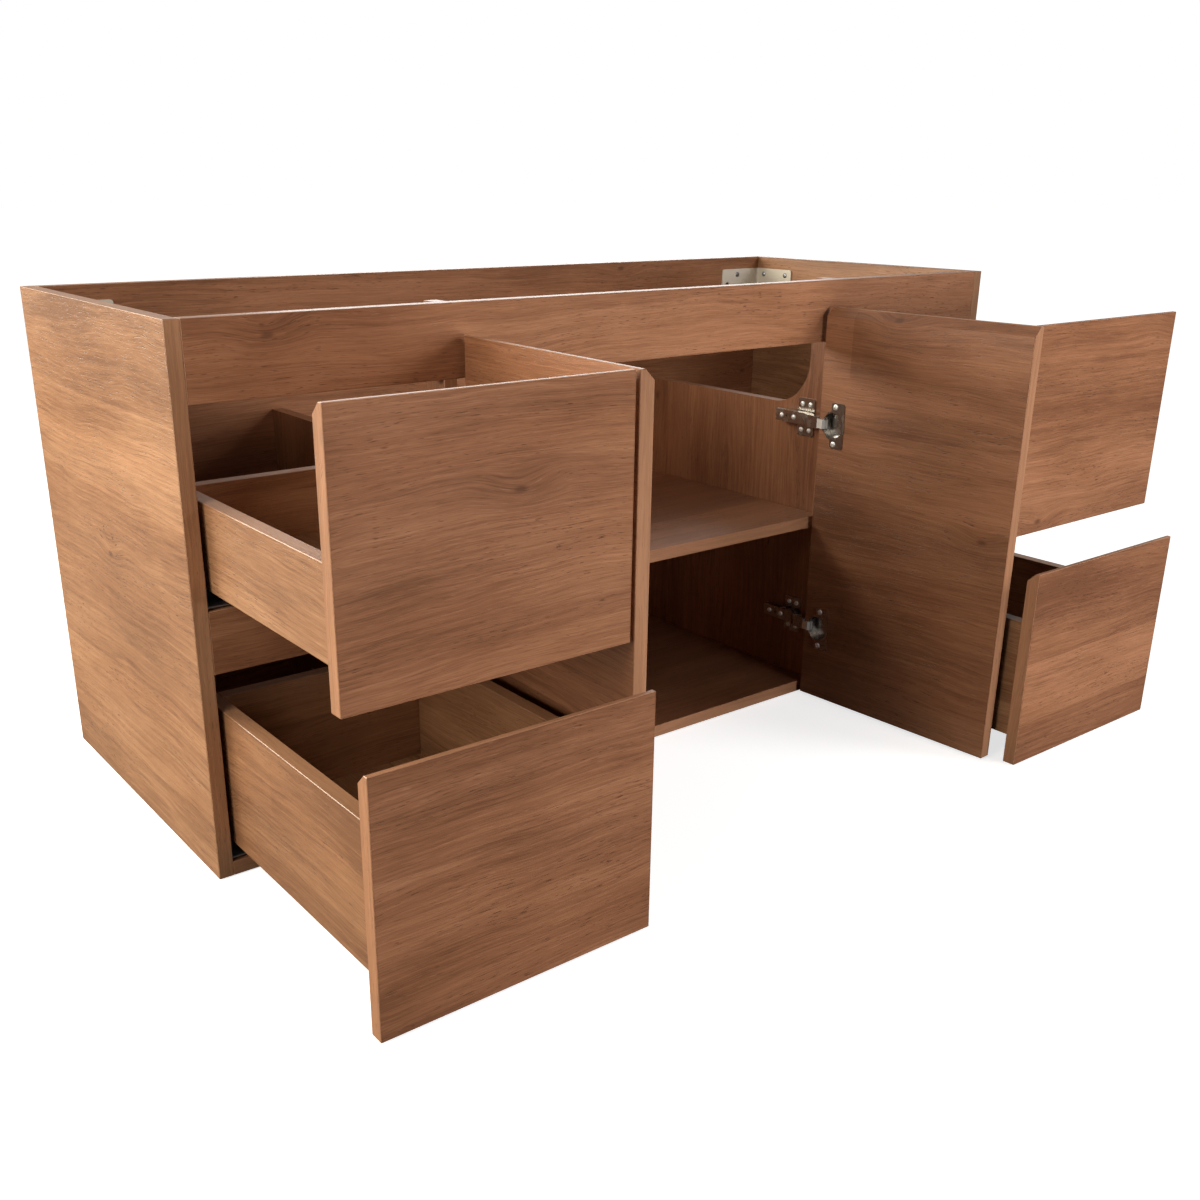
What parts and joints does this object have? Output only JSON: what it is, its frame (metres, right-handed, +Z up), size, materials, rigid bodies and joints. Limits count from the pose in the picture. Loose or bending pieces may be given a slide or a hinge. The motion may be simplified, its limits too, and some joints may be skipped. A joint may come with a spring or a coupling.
{
  "type": "bathroom vanity cabinet",
  "caption": "Wall-hung bathroom vanity cabinet: an open-topped wooden carcass with drawer banks either side of a hinged two-door cupboard, for a basin or worktop above",
  "frame": {"origin": "centre of the cabinet's underside, halfway between the sides and halfway from the carcass front to the wall", "axes": "+X to the right seen from the front, +Y towards the wall, +Z up"},
  "size_m": [1.2, 0.786, 0.57],
  "materials": {
    "wood_side": "satin wood-grain board",
    "wood_carcass": "satin wood-grain board",
    "wood_upright": "satin wood-grain board, grain upright",
    "wood_front": "satin wood-grain board, grain across",
    "wood_door": "satin wood-grain board, grain across",
    "wood_box": "satin wood-grain board, grain front to back",
    "bracket_paint": "cream paint",
    "hinge_nickel": "polished nickel",
    "link_nickel": "polished nickel",
    "runner_zinc": "zinc plated",
    "screw_steel": "plated",
    "pin_steel": "plated"
  },
  "bodies": {
    "carcass": {"side_left": "wood_side", "side_right": "wood_side", "bottom_panel": "wood_carcass", "back_panel": "wood_carcass", "top_rail": "wood_carcass", "divider_left": "wood_upright", "divider_right": "wood_upright", "stretcher_left": "wood_carcass", "stretcher_right": "wood_carcass", "shelf": "wood_carcass", "shelf_pins": "pin_steel", "bracket_left": "bracket_paint", "bracket_right": "bracket_paint", "bracket_screws": "screw_steel", "hinge_plates": "hinge_nickel", "hinge_arms": "hinge_nickel", "hinge_plate_screws": "screw_steel", "runner_screws": "screw_steel", "fixed_runners_upper_left": "runner_zinc", "fixed_runners_upper_right": "runner_zinc", "fixed_runners_lower_left": "runner_zinc", "fixed_runners_lower_right": "runner_zinc"},
    "runners_upper_left": {"mid_runners_upper_left": "runner_zinc"},
    "drawer_upper_left": {"front_upper_left": "wood_front", "box_left_side_upper_left": "wood_box", "box_right_side_upper_left": "wood_box", "box_back_upper_left": "wood_box", "box_bottom_upper_left": "wood_box", "box_runners_upper_left": "runner_zinc"},
    "runners_upper_right": {"mid_runners_upper_right": "runner_zinc"},
    "drawer_upper_right": {"front_upper_right": "wood_front", "box_left_side_upper_right": "wood_box", "box_right_side_upper_right": "wood_box", "box_back_upper_right": "wood_box", "box_bottom_upper_right": "wood_box", "box_runners_upper_right": "runner_zinc"},
    "runners_lower_left": {"mid_runners_lower_left": "runner_zinc"},
    "drawer_lower_left": {"front_lower_left": "wood_front", "box_left_side_lower_left": "wood_box", "box_right_side_lower_left": "wood_box", "box_back_lower_left": "wood_box", "box_bottom_lower_left": "wood_box", "box_runners_lower_left": "runner_zinc"},
    "runners_lower_right": {"mid_runners_lower_right": "runner_zinc"},
    "drawer_lower_right": {"front_lower_right": "wood_front", "box_left_side_lower_right": "wood_box", "box_right_side_lower_right": "wood_box", "box_back_lower_right": "wood_box", "box_bottom_lower_right": "wood_box", "box_runners_lower_right": "runner_zinc"},
    "hinge_links_left": {"hinge_links_left": "link_nickel"},
    "door_left": {"door_left": "wood_door", "hinge_cups_left": "hinge_nickel", "cup_screws_left": "screw_steel"},
    "hinge_links_right": {"hinge_links_right": "link_nickel"},
    "door_right": {"door_right": "wood_door", "hinge_cups_right": "hinge_nickel", "cup_screws_right": "screw_steel"}
  },
  "joints": [
    {"name": "pull_upper_left", "type": "slide", "parent": "carcass", "child": "drawer_upper_left", "axis": [0, -1, 0], "range_m": [-0.284, 0.066]},
    {"name": "follow_upper_left", "type": "slide", "parent": "carcass", "child": "runners_upper_left", "axis": [0, -1, 0], "range_m": [-0.142, 0.033]},
    {"name": "pull_upper_right", "type": "slide", "parent": "carcass", "child": "drawer_upper_right", "axis": [0, -1, 0], "range_m": [-0.278, 0.072]},
    {"name": "follow_upper_right", "type": "slide", "parent": "carcass", "child": "runners_upper_right", "axis": [0, -1, 0], "range_m": [-0.139, 0.036]},
    {"name": "pull_lower_left", "type": "slide", "parent": "carcass", "child": "drawer_lower_left", "axis": [0, -1, 0], "range_m": [-0.322, 0.028]},
    {"name": "follow_lower_left", "type": "slide", "parent": "carcass", "child": "runners_lower_left", "axis": [0, -1, 0], "range_m": [-0.161, 0.014]},
    {"name": "pull_lower_right", "type": "slide", "parent": "carcass", "child": "drawer_lower_right", "axis": [0, -1, 0], "range_m": [-0.321, 0.029]},
    {"name": "follow_lower_right", "type": "slide", "parent": "carcass", "child": "runners_lower_right", "axis": [0, -1, 0], "range_m": [-0.1605, 0.0145]},
    {"name": "open_left", "type": "hinge", "parent": "carcass", "child": "hinge_links_left", "pos_m": [-0.277, -0.227, 0.25], "axis": [0, 0, 1], "range_deg": [-92.2, 0.8]},
    {"name": "swing_left", "type": "hinge", "parent": "hinge_links_left", "child": "door_left", "pos_m": [-0.27454, -0.23891, 0.25], "axis": [0, 0, -1], "range_deg": [-184.4, 1.6]},
    {"name": "open_right", "type": "hinge", "parent": "carcass", "child": "hinge_links_right", "pos_m": [0.277, -0.227, 0.25], "axis": [0, 0, -1], "range_deg": [-93, 0]},
    {"name": "swing_right", "type": "hinge", "parent": "hinge_links_right", "child": "door_right", "pos_m": [0.27437, -0.23888, 0.25], "axis": [0, 0, 1], "range_deg": [-186, 0]}
  ],
  "couplings": [
    {"joint": "follow_upper_left", "follows": "pull_upper_left", "ratio": 0.5},
    {"joint": "follow_upper_right", "follows": "pull_upper_right", "ratio": 0.5},
    {"joint": "follow_lower_left", "follows": "pull_lower_left", "ratio": 0.5},
    {"joint": "follow_lower_right", "follows": "pull_lower_right", "ratio": 0.5},
    {"joint": "swing_left", "follows": "open_left", "ratio": 2},
    {"joint": "swing_right", "follows": "open_right", "ratio": 2}
  ]
}
